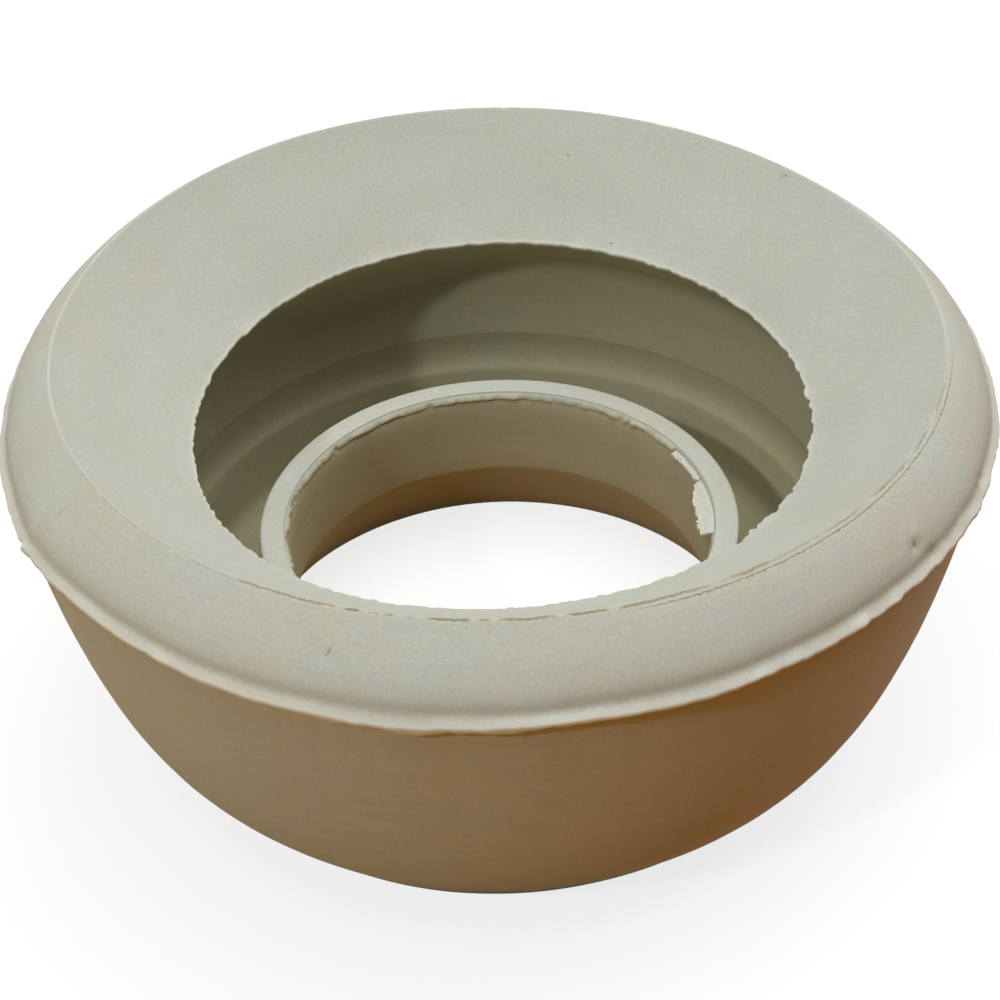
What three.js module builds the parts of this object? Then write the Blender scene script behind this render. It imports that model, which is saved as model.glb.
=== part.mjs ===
// Flush pipe connector: one moulded piece of soft grey rubber that joins a flush pipe to a pan's inlet horn.
// The pipe is gripped in the sleeve, and the horn goes through the lip into the ring-shaped cavity.
// Millimetres, +Z up. The origin is the centre of the base, and Z is the axis of the bore.
import * as THREE from 'three';

// The pipe and its sleeve
const PIPE_DIAMETER = 38;
const GRIP_SQUEEZE = 1.5;
const SLEEVE_WALL = 2.5;
const SLEEVE_HEIGHT = 16.7;
const SLEEVE_EDGE = 0.25;

// The bore's flare, from the start of the cone down to its eased edge at the base
const FLARE_HEIGHT = 8.1;
const FLARE_SPREAD = 4.1;
const FLARE_EDGE_WIDTH = 1.2;
const FLARE_EDGE_HEIGHT = 0.9;

// The ring that it stands on, and the rounded corner outside it
const FOOT_RADIUS = 28.2;
const FOOT_EDGE = 0.8;
const FOOT_RISE = 0.56;

// The bowl: a low knee, then a wall that tapers out to the mould's split line under the shoulder
const SPLIT_HEIGHT = 30.8;
const BOWL_TOP_RADIUS = 40.1;
const BOWL_TAPER = 3.6;
const BOWL_TAPER_HEIGHT = 6.8;
const KNEE_REACH = 4.9;
const KNEE_HEIGHT = 7.1;

// The shoulder: upright just above the split line, then leaning in, almost straight, to the crease
const SHOULDER_RADIUS = 40.1;
const SHOULDER_SIDE = 1.5;
const SHOULDER_CROWN_REACH = 1.1;
const SHOULDER_CROWN_FALL = 0.8;

// The crease where the shoulder meets the dished top, and the torn lip that the dish ends in
const CREASE_RADIUS = 36.1;
const CREASE_HEIGHT = 36.7;
const LIP_RADIUS = 25.7;
const LIP_HEIGHT = 27.9;
const LIP_THICKNESS = 0.9;
const LIP_BEVEL = 0.5;
const LIP_OFF_CENTRE = 0.15;
const LIP_OFF_TOWARDS = 65;

// The cavity under the lip: its roof, its wall with the groove and the ledge below it, and the floor
const CAVITY_RADIUS = 30.3;
const CAVITY_TOP = 24.3;
const ROOF_ROUND = 2;
const ROOF_RISE = 1;
const WALL_TAPER = 1.0;
const GROOVE_TOP = 16.1;
const GROOVE_HEIGHT = 14.7;
const GROOVE_DEPTH = 0.55;
const GROOVE_FOOT = 13.4;
const LEDGE_HEIGHT = 12.7;
const LEDGE_RADIUS = 28.3;
const LEDGE_EDGE = 0.5;
const FLOOR_HEIGHT = 6.5;
const FLOOR_FILLET = 1.6;
const FLOOR_TAPER = 0.6;

// Flash left by the mould: a fin at the split line, and a thin web torn off at the sleeve's rim
const FIN_REACH = 0.85;
const FIN_LIFT = 0.2;
const FIN_THICKNESS = 0.25;
const FIN_ROOT = 0.45;
const FIN_DROOP = 0.5;
const WEB_REACH = 0.18;
const WEB_THICKNESS = 0.3;
const STRIP_REACH = 1.1;
const STRIP_DROP = 1.6;
const STRIP_FROM = -11;
const STRIP_TO = 29;
const STRIP_END_INSIDE = 4;
const STRIP_END_OUTSIDE = 3;

// How far the torn edges wander, and how many facets go round
const FIN_WANDER = 0.22;
const LIP_WANDER = 0.16;
const WEB_WANDER = 0.09;
const SEGMENTS = 100;
const BOWL_STEPS = 7;
const SHOULDER_STEPS = 6;
const CORNER_STEPS = 2;

const boreRadius = (PIPE_DIAMETER - GRIP_SQUEEZE) / 2;
const sleeveRadius = boreRadius + SLEEVE_WALL;
const flareRadius = boreRadius + FLARE_SPREAD;
const rubber = new THREE.MeshStandardMaterial({ color: 0xc3bfb0, roughness: 0.88, metalness: 0 });

// The outline is one closed loop. Each point may carry a tear, which moves it as the outline goes round.
function point(radius, height, tear = null) {
  return { radius, height, tear };
}

function curvePoints(curve, steps) {
  return curve.getPoints(steps).map((p) => point(p.x, p.y));
}

function corner(fromR, fromZ, atR, atZ, toR, toZ) {
  const from = new THREE.Vector2(fromR, fromZ);
  const at = new THREE.Vector2(atR, atZ);
  const to = new THREE.Vector2(toR, toZ);
  return curvePoints(new THREE.QuadraticBezierCurve(from, at, to), CORNER_STEPS);
}

// A wandering edge: five waves whose counts share no rhythm, between about -1 and 1.
function wander(angle, shift) {
  return 0.30 * Math.sin(3 * angle + shift)
    + 0.22 * Math.sin(8 * angle + 2.1 * shift)
    + 0.20 * Math.sin(17 * angle + 0.7 * shift)
    + 0.18 * Math.sin(29 * angle + 3.3 * shift)
    + 0.14 * Math.sin(43 * angle + 1.9 * shift);
}

// 1 inside the torn strip, falling to 0 over a few degrees at each end.
function stripAt(angle) {
  const middle = THREE.MathUtils.degToRad((STRIP_FROM + STRIP_TO) / 2);
  const turned = THREE.MathUtils.euclideanModulo(angle - middle + Math.PI, 2 * Math.PI) - Math.PI;
  const away = THREE.MathUtils.radToDeg(Math.abs(turned));
  const half = (STRIP_TO - STRIP_FROM) / 2;
  return 1 - THREE.MathUtils.smoothstep(away, half - STRIP_END_INSIDE, half + STRIP_END_OUTSIDE);
}

function finTear(angle) {
  const droop = FIN_DROOP * FIN_WANDER * wander(angle, 4.2);
  return { radial: FIN_WANDER * wander(angle, 1.3), rise: droop };
}

function lipTear(angle) {
  const offCentre = LIP_OFF_CENTRE * Math.cos(angle - THREE.MathUtils.degToRad(LIP_OFF_TOWARDS));
  return { radial: offCentre + LIP_WANDER * wander(angle, 2.6), rise: 0 };
}

function webTear(angle) {
  const strip = stripAt(angle);
  const radial = WEB_WANDER * wander(angle, 5.1) - STRIP_REACH * strip;
  return { radial, rise: -STRIP_DROP * strip };
}

function footOutline() {
  return [
    point(flareRadius + FLARE_EDGE_WIDTH, 0),
    ...corner(
      FOOT_RADIUS - FOOT_EDGE, 0,
      FOOT_RADIUS, 0,
      FOOT_RADIUS + FOOT_RISE, FOOT_RISE,
    ),
  ];
}

function bowlOutline() {
  const start = new THREE.Vector2(FOOT_RADIUS + FOOT_RISE, FOOT_RISE);
  const knee = new THREE.Vector2(start.x + KNEE_REACH, KNEE_HEIGHT);
  const wall = new THREE.Vector2(BOWL_TOP_RADIUS - BOWL_TAPER, BOWL_TAPER_HEIGHT);
  const top = new THREE.Vector2(BOWL_TOP_RADIUS, SPLIT_HEIGHT);
  return curvePoints(new THREE.CubicBezierCurve(start, knee, wall, top), BOWL_STEPS).slice(1);
}

function finOutline() {
  const reach = SHOULDER_RADIUS + FIN_REACH;
  const under = SPLIT_HEIGHT + FIN_LIFT;
  return [
    point(reach, under, finTear),
    point(reach, under + FIN_THICKNESS, finTear),
  ];
}

function shoulderOutline() {
  const finTop = SPLIT_HEIGHT + FIN_LIFT + FIN_THICKNESS;
  const start = new THREE.Vector2(SHOULDER_RADIUS, finTop + FIN_ROOT);
  const side = new THREE.Vector2(SHOULDER_RADIUS, start.y + SHOULDER_SIDE);
  const crown = new THREE.Vector2(CREASE_RADIUS + SHOULDER_CROWN_REACH, CREASE_HEIGHT - SHOULDER_CROWN_FALL);
  const crease = new THREE.Vector2(CREASE_RADIUS, CREASE_HEIGHT);
  return curvePoints(new THREE.CubicBezierCurve(start, side, crown, crease), SHOULDER_STEPS);
}

function lipOutline() {
  return [
    point(LIP_RADIUS, LIP_HEIGHT, lipTear),
    point(LIP_RADIUS + LIP_BEVEL, LIP_HEIGHT - LIP_THICKNESS, lipTear),
  ];
}

function wallOutline() {
  const wallFoot = CAVITY_RADIUS - WALL_TAPER;
  return [
    ...corner(
      CAVITY_RADIUS - ROOF_ROUND, CAVITY_TOP + ROOF_RISE,
      CAVITY_RADIUS, CAVITY_TOP,
      CAVITY_RADIUS, CAVITY_TOP - ROOF_ROUND,
    ),
    point(wallFoot, GROOVE_TOP),
    point(wallFoot + GROOVE_DEPTH, GROOVE_HEIGHT),
    point(wallFoot + GROOVE_DEPTH, GROOVE_FOOT),
    point(LEDGE_RADIUS + LEDGE_EDGE, LEDGE_HEIGHT),
    point(LEDGE_RADIUS, LEDGE_HEIGHT - LEDGE_EDGE),
  ];
}

function floorOutline() {
  const floorRadius = LEDGE_RADIUS - FLOOR_TAPER;
  return [
    ...corner(
      floorRadius, FLOOR_HEIGHT + FLOOR_FILLET,
      floorRadius, FLOOR_HEIGHT,
      floorRadius - FLOOR_FILLET, FLOOR_HEIGHT,
    ),
    ...corner(
      sleeveRadius + FLOOR_FILLET, FLOOR_HEIGHT,
      sleeveRadius, FLOOR_HEIGHT,
      sleeveRadius, FLOOR_HEIGHT + FLOOR_FILLET,
    ),
  ];
}

function sleeveOutline() {
  const webTop = SLEEVE_HEIGHT - WEB_THICKNESS / 2;
  return [
    point(sleeveRadius, SLEEVE_HEIGHT - SLEEVE_EDGE),
    point(sleeveRadius - SLEEVE_EDGE, SLEEVE_HEIGHT),
    point(boreRadius, SLEEVE_HEIGHT),
    point(boreRadius - WEB_REACH, webTop, webTear),
    point(boreRadius - WEB_REACH, webTop - WEB_THICKNESS, webTear),
    point(boreRadius, SLEEVE_HEIGHT - 2 * WEB_THICKNESS),
  ];
}

function boreOutline() {
  return [
    point(boreRadius, FLARE_HEIGHT),
    point(flareRadius, FLARE_EDGE_HEIGHT),
    point(flareRadius + FLARE_EDGE_WIDTH, 0),
  ];
}

// The whole outline turned round the axis, with each torn point moved by its tear.
function turnOutline(outline) {
  const profile = outline.map((p) => new THREE.Vector2(p.radius, p.height));
  const geometry = new THREE.LatheGeometry(profile, SEGMENTS);
  const position = geometry.attributes.position;
  for (let turn = 0; turn <= SEGMENTS; turn += 1) {
    const angle = 2 * Math.PI * (turn % SEGMENTS) / SEGMENTS;
    for (let i = 0; i < outline.length; i += 1) {
      const { radius, height, tear } = outline[i];
      const move = tear ? tear(angle) : { radial: 0, rise: 0 };
      const x = (radius + move.radial) * Math.cos(angle);
      const y = (radius + move.radial) * Math.sin(angle);
      position.setXYZ(turn * outline.length + i, x, y, height + move.rise);
    }
  }
  return geometry;
}

function connectorBody() {
  const outline = [
    ...footOutline(),
    ...bowlOutline(),
    ...finOutline(),
    ...shoulderOutline(),
    ...lipOutline(),
    ...wallOutline(),
    ...floorOutline(),
    ...sleeveOutline(),
    ...boreOutline(),
  ];
  const body = new THREE.Mesh(turnOutline(outline), rubber);
  body.name = 'connector_body';
  return body;
}

const group = new THREE.Group();
group.add(connectorBody());

export default group;
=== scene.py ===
"""Flush pipe connector: one moulding of soft grey rubber, lying with its torn lip upwards.

The section is drawn once in millimetres and spun into the whole moulding. Its rings are then let out of
round, its edges torn, its parting line broken up and its skin dented, by moves that depend on where a
point lies. Two torn ribbons of flash still hang from the rim of the sleeve.

Lengths are in millimetres until MM turns them into metres, and azimuths are in degrees: 0 is the object's
right in the photograph, 90 its back and -90 its front.
"""
import math

import bmesh
import bpy
from mathutils import Matrix, Vector, geometry, noise


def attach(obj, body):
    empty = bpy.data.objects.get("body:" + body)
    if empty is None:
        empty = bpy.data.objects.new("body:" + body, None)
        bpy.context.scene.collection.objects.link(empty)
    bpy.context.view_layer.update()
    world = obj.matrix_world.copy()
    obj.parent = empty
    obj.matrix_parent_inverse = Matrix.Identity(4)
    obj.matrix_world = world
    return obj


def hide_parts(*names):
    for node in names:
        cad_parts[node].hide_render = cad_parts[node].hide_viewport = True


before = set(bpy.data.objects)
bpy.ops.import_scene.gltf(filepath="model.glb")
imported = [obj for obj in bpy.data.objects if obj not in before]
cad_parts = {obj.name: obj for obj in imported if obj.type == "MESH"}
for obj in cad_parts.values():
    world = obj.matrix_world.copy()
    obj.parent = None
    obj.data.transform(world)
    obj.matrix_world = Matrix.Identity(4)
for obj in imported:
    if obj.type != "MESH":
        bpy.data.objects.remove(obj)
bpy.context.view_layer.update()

MM = 0.001
TURN = 2 * math.pi

# The moulding's section, in millimetres, as in the part's source
BORE_RADIUS = 18.25
SLEEVE_RADIUS = 20.75
SLEEVE_TOP = 16.7
RIM_INNER = 18.72
FLARE_TOP = 8.1
FLARE_RADIUS = 22.35
FOOT_INNER = 23.55
FOOT_RADIUS = 28.2
SPLIT_HEIGHT = 30.8
BOWL_TOP_RADIUS = 40.1
FIN_RADIUS = 40.95
CREASE_RADIUS = 36.1
CREASE_HEIGHT = 36.7
LIP_RADIUS = 25.7
LIP_HEIGHT = 27.9
LIP_THICKNESS = 0.66
LIP_BEVEL = 0.36
CAVITY_RADIUS = 30.3
ROOF_RADIUS = 28.3
ROOF_HEIGHT = 25.3
WALL_FOOT = 29.3
BEAD_HEIGHT = 16.1
LEDGE_RADIUS = 28.3
LEDGE_HEIGHT = 12.7
FLOOR_HEIGHT = 6.5
DISH_FOOT = 24.0
SEAM_FOOT = CREASE_HEIGHT - 0.75
FILLET = 1.6
BEVEL = 0.3

# The turning: one eighth is spun and then doubled three times
EIGHTH_STEPS = 80
STEPS_ROUND = 8 * EIGHTH_STEPS
MERGE_DISTANCE = 0.002

# What each point of the moulding tells the skin
LAYERS = ("torn", "hollow_shade", "seam", "double", "first_line", "second_line")
# Painted shade that darkens and warms the cavity and the bore
HOLLOW_SHADE = "#F0E8CD"
SECOND_LINE_OUT = 0.42

# The torn ribbons in the bore: points along and across, then the radius and height of the root, in mm
RIBBON_POINTS = (70, 16)
RIBBON_RADIUS = 18.63
RIBBON_ROOT = SLEEVE_TOP - 0.40
RIBBON_THICKNESS = 0.24

# The skin's patterns, in mm: the size of each, how far the turning streaks are drawn out round the ring,
# and how high the grain stands
CLOUD_SIZE = 9
MOTTLE_SIZE = 1.6
GRAIN_SIZE = 0.28
STREAK_SIZE = 0.7
STREAK_LENGTH = 16
BUMP_HEIGHT = 0.03

# How bright the floor's white is by itself, without the light that falls on it
FLOOR_GLOW = 0.8

# How the rings lie off their circles, in millimetres
DISH_SHIFT = 0.34
LIP_SHIFT_OUT = 0.24
LIP_SHIFT_RIGHT = 0.42
LIP_SHIFT_BACK = 0.58

# Broken runs along the parting line: from, to (degrees of azimuth), depth from 0 to 1
SEAM_BREAKS = (
    (-121.0, -108.6, 0.75), (-107.6, -105.9, 1.0), (-104.6, -103.8, 0.7), (-102.9, -102.2, 1.0),
    (-100.6, -99.7, 0.5), (-98.2, -93.6, 0.9), (-92.6, -91.4, 0.7), (-90.4, -84.2, 0.8),
    (-82.8, -78.4, 0.9), (-77.0, -69.0, 0.8),
)

# Pinholes in the skin: azimuth, radius, height and half width
PITS = (
    (76.6, 32.82, 33.91, 0.14), (65.4, 26.85, 28.80, 0.14), (-94.0, 40.60, 31.45, 0.16),
    (-103.1, 40.62, 31.44, 0.10), (23.9, 27.80, 8.88, 0.12), (-105.0, 38.73, 22.79, 0.14),
    (-64.5, 38.16, 20.02, 0.14), (-168.1, 35.24, 35.99, 0.17), (141.0, 34.78, 35.60, 0.15),
    (-150.1, 40.38, 31.56, 0.20), (-23.7, 40.25, 31.65, 0.20),
)

# Scratches and dents, whose darkness is painted shade: azimuth, radius and height, then direction,
# half length, half width, darkness
SCRATCHES = (
    (41.6, 35.25, 36.02, 20, 0.40, 0.11, 0.5),
    (41.0, 35.42, 36.14, -50, 0.26, 0.11, 0.5),
    (142.5, 28.65, 30.40, -10, 1.70, 0.07, 0.3),
    (-108.3, 38.43, 34.52, 35, 0.60, 0.12, 0.4),
    (-40.1, 39.45, 33.20, -30, 0.62, 0.17, 0.6),
    (-148.8, 38.30, 34.70, 15, 1.10, 0.09, 0.3),
)

# How deep into the skin a scratch's mark reaches, in mm, and how dark a pinhole's painted shade is
SCRATCH_DEPTH = 0.6
PIT_DARKNESS = 0.6

# Lumps and dents: azimuth, radius, height, half width, and how far they rise (or sink)
LUMPS = (
    (-151.3, 40.9, 31.3, 0.7, 0.35), (-39.4, 39.2, 33.8, 0.7, 0.24), (-40.4, 39.5, 33.1, 0.7, -0.36),
    (-107.5, 38.2, 34.8, 0.65, 0.16), (-108.6, 38.5, 34.3, 0.65, -0.22), (-50.8, 40.9, 31.2, 0.8, 0.30),
    (-46.2, 40.8, 31.0, 0.5, 0.20), (-38.0, 40.4, 31.9, 0.9, -0.22), (-31.0, 40.6, 31.5, 0.9, 0.16),
    (-64.0, 40.9, 31.0, 0.9, 0.18), (-127.0, 41.0, 31.0, 0.9, 0.16), (-84.0, 40.9, 31.0, 0.7, 0.14),
    (-23.7, 40.3, 31.8, 0.5, -0.30), (41.0, 35.5, 36.2, 0.5, 0.12), (87.2, 36.0, 36.6, 0.5, -0.16),
    (63.3, 36.0, 36.6, 0.6, -0.16), (70.5, 36.0, 36.6, 0.5, -0.12), (45.8, 36.0, 36.6, 0.6, -0.16),
)

# The camera, fitted to the coaxial circles of the photograph: distances in mm, angles in degrees
IMAGE_SIDE = 1000
FOCAL_PIXELS = 2300
SENSOR = 36.0
CAMERA_PLACE = (0, -155.55, 141.34)
CAMERA_PITCH = 38.28
CAMERA_ROLL = -2.04
CAMERA_YAW = 0.046


def linear(code):
    """An sRGB hex colour as the linear colour that a socket takes."""
    channels = [int(code[i:i + 2], 16) / 255 for i in (1, 3, 5)]
    low_part = [c / 12.92 if c <= 0.04045 else ((c + 0.055) / 1.055) ** 2.4 for c in channels]
    return (*low_part, 1.0)


def line(start, end, steps):
    """Points from start towards end, without the end, so that the next stretch can begin there."""
    return [Vector(start).lerp(Vector(end), i / steps) for i in range(steps)]


def bend(start, leaving, arriving, end, steps):
    """A Bezier stretch of the section, without its end point."""
    knots = [Vector((*p, 0)) for p in (start, leaving, arriving, end)]
    return [p.xy for p in geometry.interpolate_bezier(*knots, steps + 1)[:-1]]


def corner(start, at, end, steps):
    """A rounded corner of the section, without its end point."""
    start, at, end = Vector(start), Vector(at), Vector(end)
    return bend(start, start.lerp(at, 0.6), end.lerp(at, 0.6), end, steps)


def dish_height(radius):
    """The height of the dished top at a radius: a straight cone from the crease down to the lip."""
    slope = (CREASE_HEIGHT - LIP_HEIGHT) / (CREASE_RADIUS - LIP_RADIUS)
    return LIP_HEIGHT + (radius - LIP_RADIUS) * slope


def outer_section():
    """The foot, the bowl, the fin of flash and the shoulder, up to just outside the crease."""
    foot_end = (FOOT_RADIUS - 0.8, 0)
    bowl_start = (FOOT_RADIUS + 0.56, 0.56)
    bowl_end = (BOWL_TOP_RADIUS, SPLIT_HEIGHT - 0.1)
    skirt_root = (FIN_RADIUS - 0.42, SPLIT_HEIGHT + 0.04)
    skirt_in = (FIN_RADIUS - 0.28, SPLIT_HEIGHT - 0.02)
    skirt_out = (FIN_RADIUS - 0.15, SPLIT_HEIGHT - 0.02)
    fin_low = (FIN_RADIUS - 0.02, SPLIT_HEIGHT + 0.06)
    fin_tip = (FIN_RADIUS, SPLIT_HEIGHT + 0.28)
    fin_high = (FIN_RADIUS - 0.08, SPLIT_HEIGHT + 0.42)
    hollow = (BOWL_TOP_RADIUS + 0.07, SPLIT_HEIGHT + 1.25)
    shoulder_end = (36.75, 36.24)
    points = line((FOOT_INNER, 0), foot_end, 2)
    points += corner(foot_end, (FOOT_RADIUS, 0), bowl_start, 4)
    points += bend(bowl_start, (33.66, 7.1), (36.5, 6.8), bowl_end, 17)
    points += line(bowl_end, skirt_root, 1)
    points += line(skirt_root, skirt_in, 1)
    points += line(skirt_in, skirt_out, 1)
    points += line(skirt_out, fin_low, 1)
    points += line(fin_low, fin_tip, 2)
    points += line(fin_tip, fin_high, 1)
    points += bend(fin_high, (40.58, 31.50), (40.26, 31.66), hollow, 6)
    points += bend(hollow, (40.02, 33.35), (37.75, 35.50), shoulder_end, 14)
    points += line(shoulder_end, (36.55, 36.40), 1)
    return points


def top_section():
    """The crease, the dished top and the torn lip, down to the roof of the cavity."""
    near_lip = (LIP_RADIUS + 0.95, dish_height(LIP_RADIUS + 0.95))
    lip_low = (LIP_RADIUS + LIP_BEVEL, LIP_HEIGHT - LIP_THICKNESS)
    crease = ((36.55, 36.40), (36.46, 36.47), (36.36, 36.55), (36.26, 36.62), (36.16, 36.68))
    points = [Vector(p) for p in crease]
    points += [Vector((radius, dish_height(radius))) for radius in (36.06, 35.94, 35.78, 35.45)]
    points += line((35.1, dish_height(35.1)), near_lip, 13)
    for out in (0.95, 0.55, 0.28, 0.12):
        points.append(Vector((LIP_RADIUS + out, dish_height(LIP_RADIUS + out))))
    points += [Vector((LIP_RADIUS + 0.02, LIP_HEIGHT - 0.01)), Vector((LIP_RADIUS, LIP_HEIGHT - 0.10))]
    points += line((LIP_RADIUS + 0.06, LIP_HEIGHT - 0.28), lip_low, 2)
    points += line(lip_low, (ROOF_RADIUS, ROOF_HEIGHT), 3)
    return points


def cavity_section():
    """The roof, the tapering wall with its bead, the cove under it, the ledge and the floor."""
    wall_top = (CAVITY_RADIUS, ROOF_HEIGHT - 3)
    bead_top = (WALL_FOOT + 0.02, BEAD_HEIGHT + 0.2)
    bead_foot = (WALL_FOOT + 0.03, BEAD_HEIGHT - 0.2)
    crest = (LEDGE_RADIUS + 0.42, LEDGE_HEIGHT + 0.08)
    ledge_foot = (LEDGE_RADIUS, LEDGE_HEIGHT - 0.55)
    floor_radius = LEDGE_RADIUS - 0.6
    floor_side = (floor_radius, FLOOR_HEIGHT + FILLET)
    floor_start = (floor_radius - FILLET, FLOOR_HEIGHT)
    floor_end = (SLEEVE_RADIUS + FILLET, FLOOR_HEIGHT)
    sleeve_foot = (SLEEVE_RADIUS, FLOOR_HEIGHT + FILLET)
    points = corner((ROOF_RADIUS, ROOF_HEIGHT), (CAVITY_RADIUS, ROOF_HEIGHT - 1), wall_top, 5)
    points += line(wall_top, bead_top, 4)
    points += corner(bead_top, (WALL_FOOT - 0.03, BEAD_HEIGHT), bead_foot, 3)
    points += bend(bead_foot, (WALL_FOOT + 0.22, 14.6), (WALL_FOOT + 0.14, 13.4), crest, 8)
    points += corner(crest, (LEDGE_RADIUS + 0.06, LEDGE_HEIGHT - 0.06), ledge_foot, 4)
    points += line(ledge_foot, floor_side, 3)
    points += corner(floor_side, (floor_radius, FLOOR_HEIGHT), floor_start, 4)
    points += line(floor_start, floor_end, 2)
    points += corner(floor_end, (SLEEVE_RADIUS, FLOOR_HEIGHT), sleeve_foot, 4)
    return points


def sleeve_section():
    """The sleeve: its outside, its flat rim, the thin web of flash inside the rim, the bore and the flare."""
    side_end = (SLEEVE_RADIUS, SLEEVE_TOP - BEVEL)
    rim_start = (SLEEVE_RADIUS - BEVEL, SLEEVE_TOP)
    flare_edge = (BORE_RADIUS, FLARE_TOP + 0.25)
    flare_start = (BORE_RADIUS + 0.14, FLARE_TOP - 0.24)
    flare_end = (FLARE_RADIUS, 0.9)
    web = ((0.0, 0.0), (-0.03, -0.12), (-0.10, -0.18), (-0.18, -0.26), (-0.30, -0.38), (-0.40, -0.52))
    under_web = ((0.06, -0.64), (0.20, -0.72), (0.12, -0.95))
    points = line((SLEEVE_RADIUS, FLOOR_HEIGHT + FILLET), side_end, 4)
    points += corner(side_end, (SLEEVE_RADIUS, SLEEVE_TOP), rim_start, 3)
    points += line(rim_start, (RIM_INNER, SLEEVE_TOP), 3)
    points += [Vector((RIM_INNER + out, SLEEVE_TOP + up)) for out, up in web]
    points += [Vector((BORE_RADIUS + out, SLEEVE_TOP + up)) for out, up in under_web]
    points += line((BORE_RADIUS, SLEEVE_TOP - 1.5), flare_edge, 4)
    points += corner(flare_edge, (BORE_RADIUS, FLARE_TOP), flare_start, 2)
    points += line(flare_start, flare_end, 6)
    points += corner(flare_end, (FLARE_RADIUS + 0.5, 0.0), (FOOT_INNER, 0), 2)
    return points


def hump(value, centre, half_width):
    """1 at the centre, falling smoothly to 0 at half_width to either side."""
    away = min(1.0, abs(value - centre) / half_width)
    return 1 - away * away * (3 - 2 * away)


def ramp(value, start, end):
    """0 up to start, rising smoothly to 1 at end. With start above end it falls instead."""
    share = min(1.0, max(0.0, (value - start) / (end - start)))
    return share * share * (3 - 2 * share)


def turned(azimuth, centre):
    """How many degrees azimuth lies from centre, from -180 to 180."""
    return (azimuth - centre + 180) % 360 - 180


def ring_noise(angle, radius, grain, layer):
    """Noise that runs along a circle: grain is the length of its waves in mm, layer picks another run."""
    reach = radius / grain
    return noise.noise(Vector((reach * math.cos(angle), reach * math.sin(angle), 7.31 * layer)))


def ring_steps(angle, radius, grain, layer):
    """Abrupt steps along a circle, from -0.5 to 0.5, about a grain long each."""
    place = Vector((angle * radius / grain, 0.5, 7.31 * layer))
    return noise.cell(place) - 0.5


def lip_edge(azimuth, angle):
    """How far the lip's torn edge lies from its circle: a slow wander off centre, then torn teeth."""
    slow = LIP_SHIFT_OUT + LIP_SHIFT_RIGHT * math.cos(angle) + LIP_SHIFT_BACK * math.sin(angle)
    slow += 0.15 * math.sin(2 * angle) - 0.05 * math.cos(2 * angle)
    slow += 0.18 * math.cos(3 * angle) - 0.31 * math.sin(3 * angle) - 0.13 * math.cos(4 * angle)
    rough = 1 + 0.5 * hump(turned(azimuth, -30), 0, 45) - 0.4 * hump(turned(azimuth, -95), 0, 25)
    teeth = 0.07 * ring_noise(angle, LIP_RADIUS, 2.4, 1) + 0.06 * ring_noise(angle, LIP_RADIUS, 0.7, 2)
    teeth += 0.11 * ring_steps(angle, LIP_RADIUS, 0.5, 3)
    big = 0.10 * ring_steps(angle, LIP_RADIUS, 1.25, 4) * hump(turned(azimuth, -28), 0, 40)
    flap = -0.22 * hump(turned(azimuth, 2.5), 0, 2.2)
    return slow, rough * teeth + big + flap


def back_warp(azimuth):
    """How far the far side of the shoulder stands out (to the left) and has slumped in (to the right)."""
    return 0.64 * hump(turned(azimuth, 120), 0, 56) - 0.9 * hump(turned(azimuth, 36), 0, 48)


def fin_edge(azimuth, angle):
    """How far the fin lies from its circle, how its edge is chipped, how much it rises, and how far its
    film hangs down."""
    out = 0.155 * math.cos(angle) - 0.31 * math.cos(2 * angle)
    out += 0.25 * hump(turned(azimuth, -120), 0, 50) + 0.35 * hump(turned(azimuth, -25), 0, 30)
    out += 0.38 * hump(turned(azimuth, -153), 0, 22) + 0.18 * hump(turned(azimuth, -151.3), 0, 1.4)
    out += 0.12 * ring_noise(angle, FIN_RADIUS, 7.0, 5) + 0.07 * ring_noise(angle, FIN_RADIUS, 2.2, 6)
    up = 0.16 * ring_noise(angle, FIN_RADIUS, 9.0, 7) + 0.10 * ring_noise(angle, FIN_RADIUS, 2.6, 8)
    rough = 0.35 + 0.65 * hump(turned(azimuth, -42), 0, 34) + 0.4 * hump(turned(azimuth, -152), 0, 12)
    chips = 0.08 * ring_noise(angle, FIN_RADIUS, 1.3, 18) + 0.09 * ring_steps(angle, FIN_RADIUS, 0.7, 19)
    jags = 0.12 * ring_noise(angle, FIN_RADIUS, 1.6, 20) + 0.09 * ring_steps(angle, FIN_RADIUS, 0.9, 21)
    film = hump(turned(azimuth, -97), 0, 24) + 0.5 * hump(turned(azimuth, -120), 0, 14)
    film += 0.4 * hump(turned(azimuth, -47), 0, 5)
    ragged = 0.55 + ring_noise(angle, FIN_RADIUS, 2.8, 9) + 0.5 * ring_noise(angle, FIN_RADIUS, 0.9, 10)
    return out, rough * chips, up + rough * jags, 0.42 * min(1.0, film) * max(0.0, ragged)


def web_edge(azimuth, angle):
    """How far the thin web inside the rim is torn back. Where the ribbons hang it is gone."""
    ribbon = ramp(azimuth, -9.6, -8.4) * ramp(azimuth, 30.8, 29.8)
    ragged = 0.08 + 0.18 * ring_noise(angle, BORE_RADIUS, 3.0, 11)
    ragged += 0.16 * ring_noise(angle, BORE_RADIUS, 0.7, 12) + 0.08 * ring_steps(angle, BORE_RADIUS, 0.45, 17)
    bare = 0.34 * ramp(turned(azimuth, -11), 0, -4) * ramp(turned(azimuth, -11), -30, -14)
    chip = -0.34 * hump(turned(azimuth, 46.7), 0, 1.2)
    return (1 - ribbon) * (max(-0.08, ragged) + bare + chip) + 0.38 * ribbon


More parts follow.
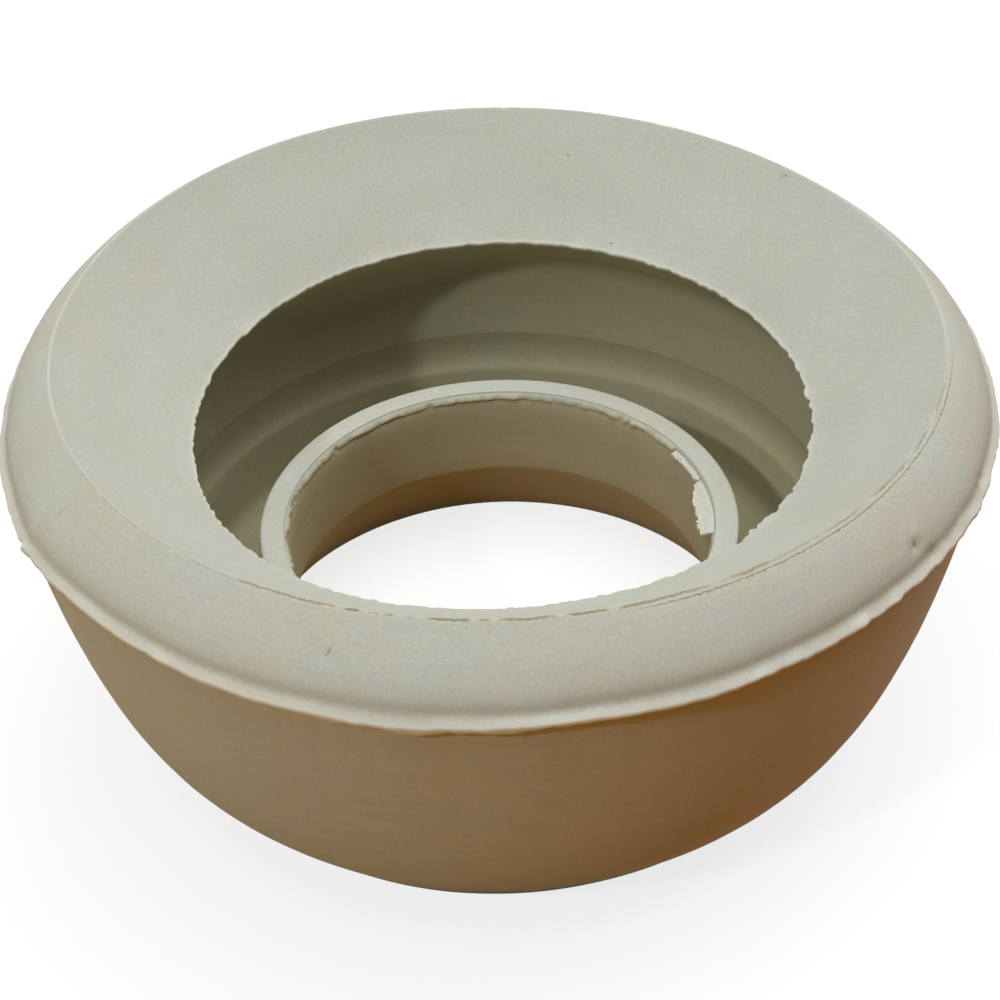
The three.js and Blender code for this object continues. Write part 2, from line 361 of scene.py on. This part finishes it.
def seam_break(azimuth, angle):
    """How deep the parting line is broken at an azimuth, and how wide its second line stands open."""
    depth = 0.0
    for start, end, deep in SEAM_BREAKS:
        begun = ramp(azimuth, start - 0.3, start + 0.3)
        depth = max(depth, deep * begun * ramp(azimuth, end + 0.3, end - 0.3))
    left = ramp(azimuth, -112, -122) * ramp(azimuth, -168, -150)
    right = ramp(azimuth, -79, -70) * ramp(azimuth, 0, -22)
    back = ramp(azimuth, 30, 50) * ramp(azimuth, 120, 95)
    wander = 0.45 + 0.5 * ring_noise(angle, CREASE_RADIUS, 2.0, 13)
    pitted = 0.7 * max(0.0, ring_noise(angle, CREASE_RADIUS, 1.6, 14))
    return max(depth, 0.25 * left, wander * right, pitted * back), right


def edge_moves(step):
    """All that a ring's edges do at one step of the turn, worked out once for the points that share it."""
    angle = TURN * step / STEPS_ROUND
    azimuth = turned(math.degrees(angle), 0)
    lip, teeth = lip_edge(azimuth, angle)
    climb = max(0.0, math.sin(angle)) ** 2
    lip /= 1 + 1.22 * climb
    fin_out, chips, fin_up, film = fin_edge(azimuth, angle)
    seam, double = seam_break(azimuth, angle)
    return {
        "cos": math.cos(angle), "sin": math.sin(angle), "azimuth": azimuth,
        "shift": DISH_SHIFT * math.cos(angle), "warp": back_warp(azimuth),
        "lip": lip, "lip_up": 0.85 * lip * climb, "teeth": teeth,
        "fin_out": fin_out, "chips": chips, "fin_up": fin_up, "film": film,
        "web": web_edge(azimuth, angle), "web_up": 0.14 * ring_noise(angle, BORE_RADIUS, 1.5, 16),
        "seam": seam, "double": double, "wave": 0.10 * ring_noise(angle, CREASE_RADIUS, 1.3, 15),
        "ridge": hump(turned(azimuth, 180), 0, 60),
    }


def rings_move(radius, height, moves):
    """Lets the bowl, the shoulder and the dish out of round, and carries the lip off centre."""
    shift = moves["shift"]
    if radius > CREASE_RADIUS:
        lower = ramp(height, CREASE_HEIGHT - 0.6, SPLIT_HEIGHT + 1.0)
        return shift * (1 - lower) + moves["fin_out"] * lower * ramp(height, 12, 30), 0.0
    if height <= DISH_FOOT:
        return 0.0, 0.0
    dish = ramp(height, DISH_FOOT, 26.8)
    inwards = min(1.0, (CREASE_RADIUS - radius) / (CREASE_RADIUS - LIP_RADIUS))
    near_edge = hump(math.hypot(radius - LIP_RADIUS, 0.35 * (height - LIP_HEIGHT)), 0, 0.9)
    out = dish * (shift + inwards * (moves["lip"] - shift)) + near_edge * moves["teeth"]
    return out, dish * inwards * moves["lip_up"]


def warp_move(radius, height, moves):
    """Slumps or lifts the far side of the shoulder."""
    warp = moves["warp"] * ramp(radius, LIP_RADIUS + 2, CREASE_RADIUS)
    warp *= ramp(height, SPLIT_HEIGHT + 1, CREASE_HEIGHT - 1.5)
    return 0.5 * warp, 0.36 * warp


def fin_move(radius, height, moves):
    """Chips and waves the fin's edge, and lets its film hang down."""
    if not on_fin(radius, height):
        return 0.0, 0.0
    share = ramp(radius, BOWL_TOP_RADIUS, FIN_RADIUS - 0.1)
    on_film = height < SPLIT_HEIGHT and radius > FIN_RADIUS - 0.35
    hanging = moves["film"] if on_film else 0.0
    return share * moves["chips"], share * moves["fin_up"] - hanging


def web_move(radius, height, moves):
    """Tears the thin web inside the rim."""
    if not 0.15 < SLEEVE_TOP - height < 0.67 or radius >= RIM_INNER - 0.08:
        return 0.0, 0.0
    share = ramp(radius, RIM_INNER - 0.12, BORE_RADIUS + 0.06)
    return share * moves["web"], share * (moves["web_up"] - 0.5 * moves["web"])


def crease_move(radius, height, moves):
    """Sinks the skin along the two lines of the parting seam, and raises its soft ridge."""
    if height <= SEAM_FOOT:
        return 0.0, 0.0
    across = radius - CREASE_RADIUS - moves["wave"]
    past_second = ramp(radius, CREASE_RADIUS + 0.5, CREASE_RADIUS + 0.36)
    between = moves["double"] * ramp(across, 0.0, 0.12) * past_second
    up = -0.08 * moves["seam"] * hump(across, 0.10, 0.15) - 0.04 * between
    return 0.0, up + 0.05 * moves["ridge"] * hump(radius, CREASE_RADIUS + 0.1, 0.8)


def lump_move(radius, height, moves):
    """Raises the small lumps and sinks the dents."""
    out = 0.0
    for azimuth, lump_radius, lump_height, half_width, rise in LUMPS:
        across = math.radians(turned(moves["azimuth"], azimuth)) * lump_radius
        if abs(across) < half_width and abs(height - lump_height) < half_width:
            away = math.hypot(across, radius - lump_radius, height - lump_height)
            out += 0.7 * rise * hump(away, 0, half_width)
    return out, out


def on_fin(radius, height):
    """Whether a point of the section belongs to the fin of flash."""
    return abs(height - SPLIT_HEIGHT - 0.3) < 0.9 and radius > BOWL_TOP_RADIUS - 0.1


def torn_and_highlit_share(radius, height):
    """How pale the skin is made: paler torn rubber together with a painted highlight, wholly at the lip's
    edge and the fin's, and a little on the fin's top, where it stands for the light that the top catches.
    """
    torn = 0.0
    if radius < CREASE_RADIUS and height > LIP_HEIGHT - 0.15:
        torn = hump(radius, LIP_RADIUS, 0.34)
    if on_fin(radius, height):
        edge = ramp(radius, FIN_RADIUS - 0.25, FIN_RADIUS - 0.03)
        torn = max(torn, edge, 0.4 * ramp(radius, BOWL_TOP_RADIUS + 0.15, FIN_RADIUS - 0.4))
    return torn


def hollow_shade_share(radius, height):
    """How much painted shade darkens and warms the skin: in the cavity and the bore, fading out near the rim.
    """
    in_cavity = SLEEVE_RADIUS - 0.1 < radius < CAVITY_RADIUS + 0.1 and 1 < height < LIP_HEIGHT - 0.4
    bore_limit = SLEEVE_RADIUS - 0.1 + 4 * ramp(height, FLARE_TOP, 0)
    if in_cavity or (radius < bore_limit and height < SLEEVE_TOP - 0.1):
        return ramp(math.hypot(radius - 19.6, 0.7 * (height - SLEEVE_TOP)), 0.9, 1.4)
    return 0.0


def sculpt(shape):
    """Moves every point of the spun moulding. Point layers go with it for the skin: torn edges with their
    painted highlight, the hollows' painted shade, and how far a point lies from the seam's two lines, in mm,
    with how open each line is."""
    torn, hollow_shade, seam, double, first_line, second_line = (
        shape.verts.layers.float.new(name) for name in LAYERS
    )
    around = [edge_moves(step) for step in range(STEPS_ROUND)]
    for vert in shape.verts:
        x, y, height = vert.co / MM
        radius = math.hypot(x, y)
        moves = around[round(math.atan2(y, x) / TURN * STEPS_ROUND) % STEPS_ROUND]
        slump = 0.05 * noise.noise(Vector((x, y, height)) / 14)
        out = slump + 0.02 * noise.noise(Vector((x, y, height + 50)) / 4)
        up = 0.0
        for move in (rings_move, warp_move, fin_move, web_move, crease_move, lump_move):
            move_out, move_up = move(radius, height, moves)
            out += move_out
            up += move_up
        vert[torn] = torn_and_highlit_share(radius, height)
        vert[hollow_shade] = hollow_shade_share(radius, height)
        if height > SEAM_FOOT:
            vert[seam] = moves["seam"]
            vert[double] = moves["double"]
            vert[first_line] = radius - CREASE_RADIUS - 0.08 - moves["wave"]
            vert[second_line] = radius - CREASE_RADIUS - SECOND_LINE_OUT
        vert.co += Vector((moves["cos"] * out, moves["sin"] * out, up)) * MM
        if height < 0.01:
            vert.co.z = 0


def spun_moulding():
    """The section as a wire loop, spun an eighth of a turn; three doublings close the ring."""
    shape = bmesh.new()
    section = outer_section() + top_section() + cavity_section() + sleeve_section()
    ring = [shape.verts.new((p.x * MM, 0, p.y * MM)) for p in section]
    loop = [shape.edges.new((a, b)) for a, b in zip(ring, ring[1:] + ring[:1])]
    bmesh.ops.spin(
        shape, geom=ring + loop, cent=(0, 0, 0), axis=(0, 0, 1), dvec=(0, 0, 0),
        angle=TURN / 8, steps=EIGHTH_STEPS, use_merge=False, use_duplicate=False,
    )
    for share in (8, 4, 2):
        copy = bmesh.ops.duplicate(shape, geom=shape.verts[:] + shape.edges[:] + shape.faces[:])
        moved = [part for part in copy["geom"] if isinstance(part, bmesh.types.BMVert)]
        bmesh.ops.rotate(shape, verts=moved, cent=(0, 0, 0), matrix=Matrix.Rotation(TURN / share, 3, "Z"))
        bmesh.ops.remove_doubles(shape, verts=shape.verts, dist=MERGE_DISTANCE * MM)
    bmesh.ops.recalc_face_normals(shape, faces=shape.faces)
    return shape


def ribbon(start, end, reach, droop, rough, seed):
    """A torn ribbon of flash that hangs inwards from under the sleeve's rim, from one azimuth to another.
    reach(share) gives its width along its length, and rough says how ragged its free edge is."""
    shape = bmesh.new()
    along_points, across_points = RIBBON_POINTS
    bmesh.ops.create_grid(shape, x_segments=along_points, y_segments=across_points, size=0.5)
    for vert in shape.verts:
        along, across = vert.co.x + 0.5, vert.co.y + 0.5
        angle = math.radians(start + (end - start) * along)
        place = Vector((18 * angle, across * 1.5, seed))
        ragged = 0.16 * noise.noise(place / 0.45) + 0.14 * (noise.cell(place / 0.3) - 0.5)
        width = reach(along) + rough * ragged * across
        lumps = 0.10 * noise.noise(place / 0.5) + 0.05 * noise.noise(place / 0.2)
        radius = RIBBON_RADIUS - width * across
        height = RIBBON_ROOT - droop * across ** 1.5 + lumps * ramp(across, 0.0, 0.3)
        vert.co = Vector((radius * math.cos(angle), radius * math.sin(angle), height)) * MM
    sheet = bmesh.ops.extrude_face_region(shape, geom=shape.faces[:], use_keep_orig=True)
    lowered = [part for part in sheet["geom"] if isinstance(part, bmesh.types.BMVert)]
    bmesh.ops.translate(shape, verts=lowered, vec=(0, 0, -RIBBON_THICKNESS * MM))
    bmesh.ops.recalc_face_normals(shape, faces=shape.faces)
    torn = [shape.verts.layers.float.new(name) for name in LAYERS][0]
    for vert in shape.verts:
        folds = [edge.calc_face_angle() for edge in vert.link_edges if len(edge.link_faces) == 2]
        # Paler torn rubber on the whole sheet, with a painted highlight on its folded edges
        vert[torn] = 0.9 if max(folds) > 0.9 else 0.25
    return shape


def upper_reach(share):
    """The upper ribbon is widest at its start."""
    return 0.55 + 0.15 * hump(share, 0.0, 0.3)


def lower_reach(share):
    """The lower ribbon widens over its first third and narrows a little at its end."""
    return 0.75 + 0.80 * ramp(share, 0.0, 0.35) - 0.2 * ramp(share, 0.8, 1.0)


def as_piece(shape, name, material, sharp_angle=50):
    """A bmesh as a smooth-shaded piece of the object, with its place in its mesh."""
    for face in shape.faces:
        face.smooth = True
    mesh = bpy.data.meshes.new(name)
    shape.to_mesh(mesh)
    shape.free()
    mesh.materials.append(material)
    mesh.set_sharp_from_angle(angle=math.radians(sharp_angle))
    piece = bpy.data.objects.new(name, mesh)
    bpy.context.scene.collection.objects.link(piece)
    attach(piece, "root")
    return piece


def add(tree, kind, inputs=None, **settings):
    """Adds one node: settings are its own properties, and an input is a value or another node's socket."""
    made = tree.nodes.new(kind)
    for name, value in settings.items():
        setattr(made, name, value)
    for name, value in (inputs or {}).items():
        if isinstance(value, bpy.types.NodeSocket):
            tree.links.new(value, made.inputs[name])
        else:
            made.inputs[name].default_value = value
    return made


def on_skin(azimuth, radius, height):
    """A place on the skin, in metres, from its azimuth in degrees and its radius and height in mm."""
    angle = math.radians(azimuth)
    return Vector((radius * math.cos(angle), radius * math.sin(angle), height)) * MM


def pinholes(tree, place):
    """How dark the painted shade in the soft round pinholes makes the skin."""
    nearest = 9.0
    for azimuth, radius, height, half_width in PITS:
        pit = on_skin(azimuth, radius, height)
        away = add(tree, "ShaderNodeVectorMath", {0: place, 1: pit}, operation="DISTANCE")
        widths = add(
            tree, "ShaderNodeMath", {0: away.outputs["Value"], 1: 1 / (half_width * MM)},
            operation="MULTIPLY",
        )
        nearer = add(tree, "ShaderNodeMath", {0: widths.outputs[0], 1: nearest}, operation="MINIMUM")
        nearest = nearer.outputs[0]
    dark = add(
        tree, "ShaderNodeMapRange",
        {"Value": nearest, "From Min": 0.5, "From Max": 1.2, "To Min": PIT_DARKNESS, "To Max": 0.0},
    )
    return dark.outputs["Result"]


def shaded_marks(tree, place):
    """Painted shade of all the small marks: how dark the pinholes make the skin, and the scratches as long
    thin ellipsoids.
    """
    darkness = pinholes(tree, place)
    for azimuth, radius, height, direction, half_length, half_width, dark in SCRATCHES:
        local = add(
            tree, "ShaderNodeMapping",
            {
                "Vector": place, "Location": on_skin(azimuth, radius, height),
                "Rotation": (0, 0, math.radians(direction)),
                "Scale": Vector((half_length, half_width, SCRATCH_DEPTH)) * MM,
            },
            vector_type="TEXTURE",
        )
        away = add(tree, "ShaderNodeVectorMath", {0: local.outputs[0]}, operation="LENGTH")
        near = add(
            tree, "ShaderNodeMapRange",
            {
                "Value": away.outputs["Value"], "From Min": 0.4, "From Max": 1.0,
                "To Min": dark, "To Max": 0.0,
            },
        )
        darker = add(
            tree, "ShaderNodeMath", {0: near.outputs["Result"], 1: darkness}, operation="MAXIMUM",
        )
        darkness = darker.outputs[0]
    return darkness


def streaks(tree, place):
    """Faint rings left by the turned mould: noise that is drawn out along the circles round the axis."""
    parts = add(tree, "ShaderNodeSeparateXYZ", {0: place})
    flat = add(tree, "ShaderNodeCombineXYZ", {0: parts.outputs["X"], 1: parts.outputs["Y"]})
    radius = add(tree, "ShaderNodeVectorMath", {0: flat.outputs[0]}, operation="LENGTH")
    outline = add(
        tree, "ShaderNodeMath", {0: radius.outputs["Value"], 1: parts.outputs["Z"]}, operation="SUBTRACT",
    )
    fine = add(
        tree, "ShaderNodeMath", {0: outline.outputs[0], 1: 1 / (STREAK_SIZE * MM)}, operation="MULTIPLY",
    )
    coarse = add(
        tree, "ShaderNodeVectorMath", {0: flat.outputs[0], "Scale": 1 / (STREAK_LENGTH * MM)},
        operation="SCALE",
    )
    drawn = add(
        tree, "ShaderNodeTexNoise",
        {"Vector": coarse.outputs[0], "W": fine.outputs[0], "Scale": 1.0, "Detail": 1.0},
        noise_dimensions="4D",
    )
    return drawn.outputs["Fac"]


def seam_dust_and_shade(tree, rough):
    """Where the seam's two hairlines are darkened brown, by dust and by painted shade: each is a narrow band
    round its signed distance of 0, with an edge that rough breaks up."""
    lines = 0.0
    for distance, open_by, half_width in (("first_line", "seam", 0.14), ("second_line", "double", 0.06)):
        across = add(tree, "ShaderNodeAttribute", attribute_name=distance)
        uneven = add(
            tree, "ShaderNodeMath", {0: rough, 1: 0.3, 2: across.outputs["Fac"]}, operation="MULTIPLY_ADD",
        )
        centred = add(tree, "ShaderNodeMath", {0: uneven.outputs[0], 1: 0.15}, operation="SUBTRACT")
        away = add(tree, "ShaderNodeMath", {0: centred.outputs[0]}, operation="ABSOLUTE")
        within = add(
            tree, "ShaderNodeMapRange",
            {
                "Value": away.outputs[0], "From Min": 0.3 * half_width, "From Max": half_width,
                "To Min": 1.0, "To Max": 0.0,
            },
        )
        depth = add(tree, "ShaderNodeAttribute", attribute_name=open_by)
        line_dust_and_shade = add(
            tree, "ShaderNodeMath", {0: within.outputs["Result"], 1: depth.outputs["Fac"]},
            operation="MULTIPLY",
        )
        widest = add(tree, "ShaderNodeMath", {0: line_dust_and_shade.outputs[0], 1: lines}, operation="MAXIMUM")
        lines = widest.outputs[0]
    return lines


def clean_skin(tree, place, clouds, mottle, grain):
    """The rubber's own colour, uneven in clouds of filler, in mottling, in grain and in turned streaks."""
    cloudy = add(tree, "ShaderNodeMapRange", {"Value": clouds, "From Min": 0.35, "From Max": 0.65})
    skin = add(
        tree, "ShaderNodeMix",
        {"Factor": cloudy.outputs["Result"], "A": linear("#B6B5A7"), "B": linear("#B5B8AE")},
        data_type="RGBA",
    )
    patchy = add(tree, "ShaderNodeMapRange", {"Value": mottle, "From Min": 0.35, "From Max": 0.65})
    mottled = add(
        tree, "ShaderNodeMix",
        {"Factor": patchy.outputs["Result"], "A": (0.985, 0.99, 1.01, 1), "B": (1.01, 1.005, 0.975, 1)},
        data_type="RGBA",
    )
    tinted = add(
        tree, "ShaderNodeMix", {"Factor": 1.0, "A": skin.outputs["Result"], "B": mottled.outputs["Result"]},
        data_type="RGBA", blend_type="MULTIPLY",
    )
    uneven = add(
        tree, "ShaderNodeMath", {0: streaks(tree, place), 1: 0.35, 2: grain}, operation="MULTIPLY_ADD",
    )
    speck = add(
        tree, "ShaderNodeMapRange",
        {"Value": uneven.outputs[0], "From Min": 0.475, "From Max": 0.875, "To Min": 0.94, "To Max": 1.06},
    )
    grained = add(
        tree, "ShaderNodeMix", {"Factor": 1.0, "A": tinted.outputs["Result"], "B": speck.outputs["Result"]},
        data_type="RGBA", blend_type="MULTIPLY",
    )
    return grained.outputs["Result"]


def moulded_rubber():
    """Chalk-filled natural rubber, moulded in a matt steel mould: a soft dull skin, cream-grey, a little
    uneven where the filler clouds, paler where it is torn and paler still in a painted highlight on thin
    edges, with painted shade olive-brown in the hollows and dark in the small marks, and brown where dust
    and painted shade sit in the seam. The filler's grain is finer than it is drawn here, so that it shows."""
    material = bpy.data.materials.new("moulded_chalk_filled_rubber")
    material.use_nodes = True
    tree = material.node_tree
    shader = tree.nodes["Principled BSDF"]
    place = add(tree, "ShaderNodeTexCoord").outputs["Object"]
    clouds, mottle, grain = (
        add(
            tree, "ShaderNodeTexNoise",
            {"Vector": place, "Scale": 1 / (size * MM), "Detail": detail, "Roughness": 0.6},
        ).outputs["Fac"]
        for size, detail in ((CLOUD_SIZE, 3.0), (MOTTLE_SIZE, 2.0), (GRAIN_SIZE, 2.0))
    )

    # Paler torn rubber, together with a painted highlight on thin edges and on the fin's top
    highlit_tear = add(tree, "ShaderNodeAttribute", attribute_name="torn")
    highlit_tear_share = add(tree, "ShaderNodeMath", {0: highlit_tear.outputs["Fac"], 1: 0.6}, operation="MULTIPLY")
    with_highlit_tears = add(
        tree, "ShaderNodeMix",
        {
            "Factor": highlit_tear_share.outputs[0], "A": clean_skin(tree, place, clouds, mottle, grain),
            "B": linear("#E0DFD3"),
        },
        data_type="RGBA",
    )
    # Painted shade: the cavity and the bore are darkened and warmed
    hollow_shade = add(tree, "ShaderNodeAttribute", attribute_name="hollow_shade")
    with_hollow_shade = add(
        tree, "ShaderNodeMix",
        {"Factor": hollow_shade.outputs["Fac"], "A": with_highlit_tears.outputs["Result"], "B": linear(HOLLOW_SHADE)},
        data_type="RGBA", blend_type="MULTIPLY",
    )
    # Dust and painted shade, brown, in the seam's two hairlines
    with_seam_dust_and_shade = add(
        tree, "ShaderNodeMix",
        {"Factor": seam_dust_and_shade(tree, grain), "A": with_hollow_shade.outputs["Result"], "B": linear("#8C7D62")},
        data_type="RGBA",
    )
    # Painted shade in the pinholes, scratches and dents
    with_shaded_marks = add(
        tree, "ShaderNodeMix",
        {"Factor": shaded_marks(tree, place), "A": with_seam_dust_and_shade.outputs["Result"], "B": linear("#4A4436")},
        data_type="RGBA",
    )
    tree.links.new(with_shaded_marks.outputs["Result"], shader.inputs["Base Color"])

    dullness = add(
        tree, "ShaderNodeMapRange",
        {"Value": clouds, "From Min": 0.3, "From Max": 0.7, "To Min": 0.84, "To Max": 0.93},
    )
    tree.links.new(dullness.outputs["Result"], shader.inputs["Roughness"])
    bump = add(tree, "ShaderNodeBump", {"Height": grain, "Strength": 0.3, "Distance": BUMP_HEIGHT * MM})
    tree.links.new(bump.outputs["Normal"], shader.inputs["Normal"])
    shader.inputs["Specular IOR Level"].default_value = 0.15
    return material


def seen_directly(tree):
    """1 for a ray that shows the backdrop or the floor itself, 0 for one that only brings light."""
    path = add(tree, "ShaderNodeLightPath")
    camera = path.outputs["Is Camera Ray"]
    glossy = path.outputs["Is Glossy Ray"]
    through = path.outputs["Is Transmission Ray"]
    seen = add(tree, "ShaderNodeMath", {0: camera, 1: glossy}, operation="MAXIMUM")
    seen = add(tree, "ShaderNodeMath", {0: seen.outputs[0], 1: through}, operation="MAXIMUM")
    return seen.outputs[0]


def room():
    """A white backdrop that is seen and faintly mirrored, but leaves the shading to the lamps."""
    world = bpy.data.worlds.new("white_room")
    world.use_nodes = True
    bpy.context.scene.world = world
    tree = world.node_tree
    unlit = tree.nodes["Background"]
    unlit.inputs["Strength"].default_value = 0.0
    backdrop = add(tree, "ShaderNodeBackground", {"Color": (1, 1, 1, 1), "Strength": 1.0})
    mix = add(
        tree, "ShaderNodeMixShader", {0: seen_directly(tree), 1: unlit.outputs[0], 2: backdrop.outputs[0]},
    )
    tree.links.new(mix.outputs[0], tree.nodes["World Output"].inputs["Surface"])


def pale_floor(bounce_left, bounce_right):
    """A floor that looks near white with a faint shadow, and throws a warm bounce up on the object: olive
    from the left, redder from the right."""
    shape = bmesh.new()
    bmesh.ops.create_grid(shape, x_segments=1, y_segments=1, size=3.0)
    mesh = bpy.data.meshes.new("floor")
    shape.to_mesh(mesh)
    shape.free()
    floor = bpy.data.objects.new("floor", mesh)
    bpy.context.scene.collection.objects.link(floor)
    material = bpy.data.materials.new("pale_floor")
    material.use_nodes = True
    tree = material.node_tree
    parts = add(tree, "ShaderNodeSeparateXYZ", {0: add(tree, "ShaderNodeTexCoord").outputs["Object"]})
    across = add(
        tree, "ShaderNodeMapRange",
        {"Value": parts.outputs["X"], "From Min": -BOWL_TOP_RADIUS * MM, "From Max": BOWL_TOP_RADIUS * MM},
    )
    bounce = add(
        tree, "ShaderNodeMix", {"Factor": across.outputs["Result"], "A": bounce_left, "B": bounce_right},
        data_type="RGBA",
    )
    warm = add(tree, "ShaderNodeBsdfDiffuse", {"Color": bounce.outputs["Result"]})
    white = add(tree, "ShaderNodeEmission", {"Color": (1, 1, 1, 1), "Strength": FLOOR_GLOW})
    shade = add(tree, "ShaderNodeBsdfDiffuse", {"Color": linear("#7C7C7C")})
    pale = add(tree, "ShaderNodeAddShader", {0: white.outputs[0], 1: shade.outputs[0]})
    mix = add(tree, "ShaderNodeMixShader", {0: seen_directly(tree), 1: warm.outputs[0], 2: pale.outputs[0]})
    tree.links.new(mix.outputs[0], tree.nodes["Material Output"].inputs["Surface"])
    mesh.materials.append(material)


def lamp(name, azimuth, elevation, spread, energy):
    """A distant white lamp: the wider its spread in degrees, the softer its shadows."""
    data = bpy.data.lights.new(name, "SUN")
    data.energy = energy
    data.angle = math.radians(spread)
    holder = bpy.data.objects.new(name, data)
    turn, rise = math.radians(azimuth), math.radians(elevation)
    level = math.cos(rise)
    towards = Vector((math.cos(turn) * level, math.sin(turn) * level, math.sin(rise)))
    holder.rotation_mode = "QUATERNION"
    holder.rotation_quaternion = towards.to_track_quat("Z", "Y")
    bpy.context.scene.collection.objects.link(holder)


def studio():
    """Soft light from above and from the far right, a fill from the left and a small lamp, front left, that
    draws the lip's shadow in the cavity."""
    room()
    pale_floor(linear("#B88F45"), linear("#AC6C27"))
    lamp("overhead", -90, 87, 50, 2.20)
    lamp("window", 45, 45, 70, 1.68)
    lamp("fill", 180, 35, 70, 0.35)
    lamp("key", -137, 41, 4, 0.81)


def photograph_camera():
    data = bpy.data.cameras.new("camera")
    data.sensor_width = SENSOR
    data.lens = SENSOR * FOCAL_PIXELS / IMAGE_SIDE
    camera = bpy.data.objects.new("camera", data)
    camera.matrix_world = (
        Matrix.Translation(Vector(CAMERA_PLACE) * MM)
        @ Matrix.Rotation(math.radians(-CAMERA_YAW), 4, "Z")
        @ Matrix.Rotation(math.radians(90 - CAMERA_PITCH), 4, "X")
        @ Matrix.Rotation(math.radians(CAMERA_ROLL), 4, "Z")
    )
    data.clip_start = 0.005
    data.clip_end = 20
    bpy.context.scene.collection.objects.link(camera)
    bpy.context.scene.camera = camera


rubber = moulded_rubber()
moulding = spun_moulding()
sculpt(moulding)
body = as_piece(moulding, "rubber_moulding", rubber)
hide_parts("connector_body")

upper = ribbon(29.6, 15.4, upper_reach, 0.18, 0.4, 1.7)
as_piece(upper, "torn_ribbon_upper", rubber)
lower = ribbon(15.0, -8.2, lower_reach, 0.35, 1.0, 8.2)
as_piece(lower, "torn_ribbon_lower", rubber)

studio()
photograph_camera()

scene = bpy.context.scene
scene.view_settings.view_transform = "Standard"
